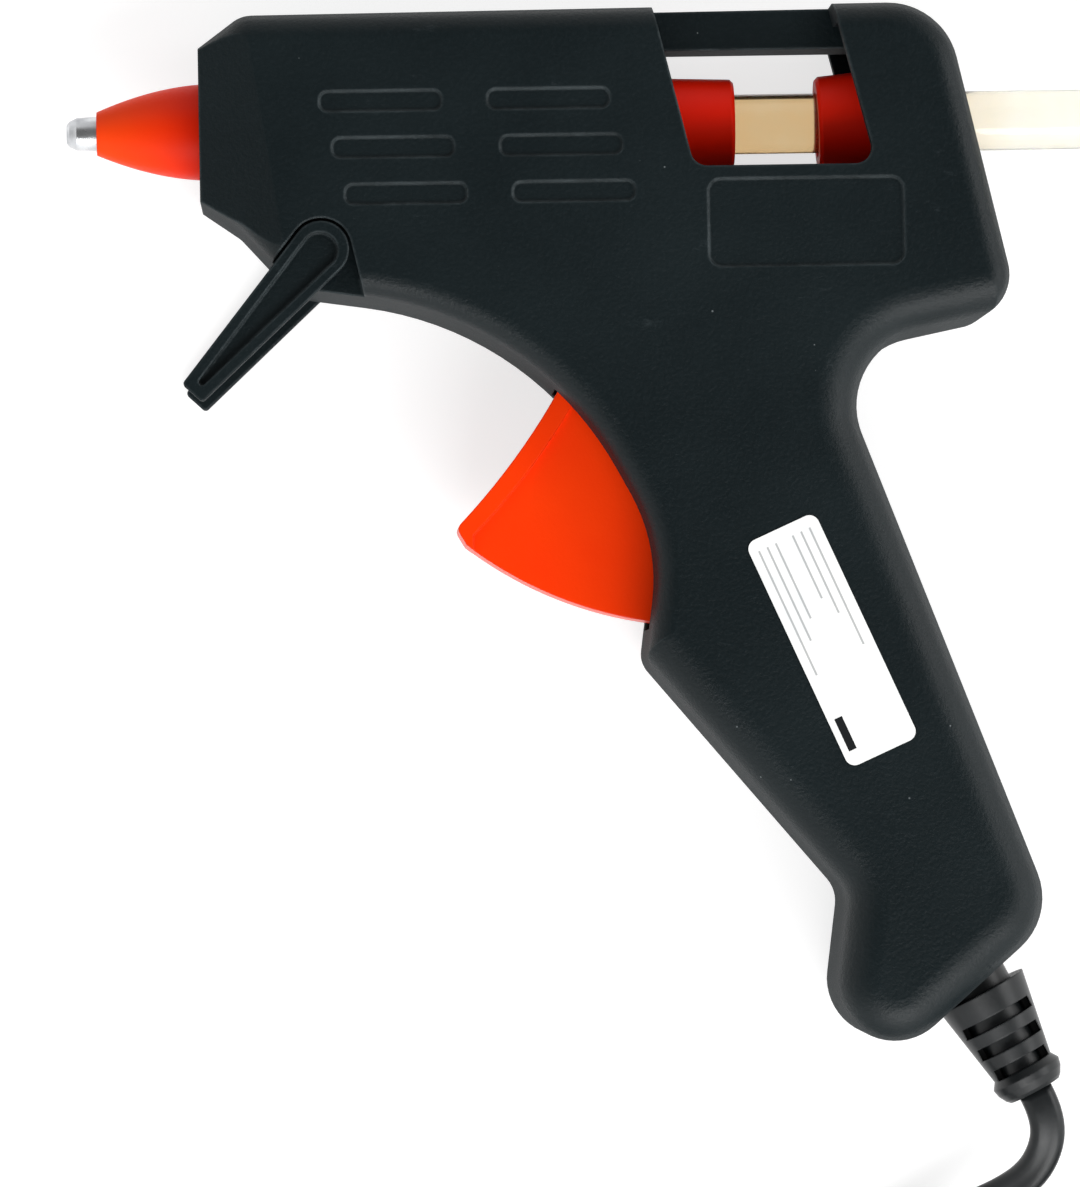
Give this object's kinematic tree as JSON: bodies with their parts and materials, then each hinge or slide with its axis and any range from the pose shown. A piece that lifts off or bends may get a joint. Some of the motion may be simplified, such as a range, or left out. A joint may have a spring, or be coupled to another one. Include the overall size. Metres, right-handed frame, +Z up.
{
  "type": "glue gun",
  "caption": "Hot-melt glue gun with a trigger feed, open feed window, folding two-leg stand, silicone nozzle cover, loaded stick and mains lead.",
  "frame": {"origin": "under the middle of the gun's own bounding box, on the table it lies on", "axes": "+X from the nozzle to the rear, +Y from the handle up to the barrel, +Z up out of the left side"},
  "size_m": [0.1702, 0.2094, 0.0261],
  "materials": {
    "shell_plastic": "fine texture",
    "trigger_plastic": "satin",
    "silicone": "matt",
    "sleeve_silicone": "matt",
    "cord_rubber": "satin",
    "aluminium": "polished",
    "steel": "zinc plated",
    "copper_alloy": "plain",
    "ceramic": "ceramic",
    "film": "polyimide film",
    "hot_melt": "waxy, translucent",
    "label": "satin",
    "lead_insulation": "braided sleeve",
    "chrome": "nickel plated",
    "tie_strap": "plain"
  },
  "bodies": {
    "housing": {"left_shell": "shell_plastic", "right_shell": "shell_plastic", "housing_screws": "steel", "rating_label": "label", "nozzle_tip": "aluminium", "nozzle_cover": "silicone", "melt_chamber": "aluminium", "heater_film_upper": "film", "electrode_upper": "copper_alloy", "ptc_heater": "ceramic", "electrode_lower": "copper_alloy", "heater_film_lower": "film", "heater_clip": "steel", "inlet_sleeve": "sleeve_silicone", "sleeve_clamp": "steel", "trigger_pivot_pin": "steel", "return_spring": "steel", "live_lead": "lead_insulation", "neutral_lead": "lead_insulation", "crimp_sleeves": "copper_alloy", "lead_conductors": "lead_insulation", "lead_clamp": "ceramic", "clamp_screws": "steel", "strain_relief": "cord_rubber", "inner_lead": "cord_rubber", "cord_tube": "cord_rubber", "cord_coil": "cord_rubber", "coil_tie": "tie_strap", "cord_tail": "cord_rubber", "plug_body": "cord_rubber", "plug_pins": "chrome", "plug_pin_sleeves": "cord_rubber"},
    "trigger": {"trigger": "trigger_plastic"},
    "link": {"feed_link": "steel", "link_pin": "steel"},
    "feed": {"feed_ring": "trigger_plastic", "feed_pin": "steel"},
    "stick": {"glue_stick": "hot_melt"},
    "stand": {"stand_leg_left": "shell_plastic", "stand_leg_right": "shell_plastic", "stand_axle": "steel"}
  },
  "joints": [
    {"name": "trigger_pivot", "type": "hinge", "parent": "housing", "child": "trigger", "pos_m": [-0.007, 0.02234, 0.013], "axis": [0, 0, 1], "range_deg": [0, 23], "stiffness_Nm_per_rad": 0.15, "springref_deg": -17.19},
    {"name": "link_pivot", "type": "hinge", "parent": "trigger", "child": "link", "pos_m": [-0.00371, 0.03851, 0.013], "axis": [0, 0, 1], "range_deg": [-23, 0]},
    {"name": "feed_slide", "type": "slide", "parent": "housing", "child": "feed", "axis": [-1, 0, 0], "range_m": [0, 0.0066], "deforming": ["return_spring"]},
    {"name": "stick_slide", "type": "slide", "parent": "housing", "child": "stick", "axis": [1, 0, 0], "range_m": [-0.018, 0.05]},
    {"name": "stand_pivot", "type": "hinge", "parent": "housing", "child": "stand", "pos_m": [-0.0478, 0.03324, 0.013], "axis": [0, 0, 1], "range_deg": [0, 60]}
  ],
  "couplings": [
    {"joint": "link_pivot", "follows": "trigger_pivot", "ratio": -1},
    {"joint": "feed_slide", "follows": "trigger_pivot", "m_per_rad": 0.016389}
  ]
}
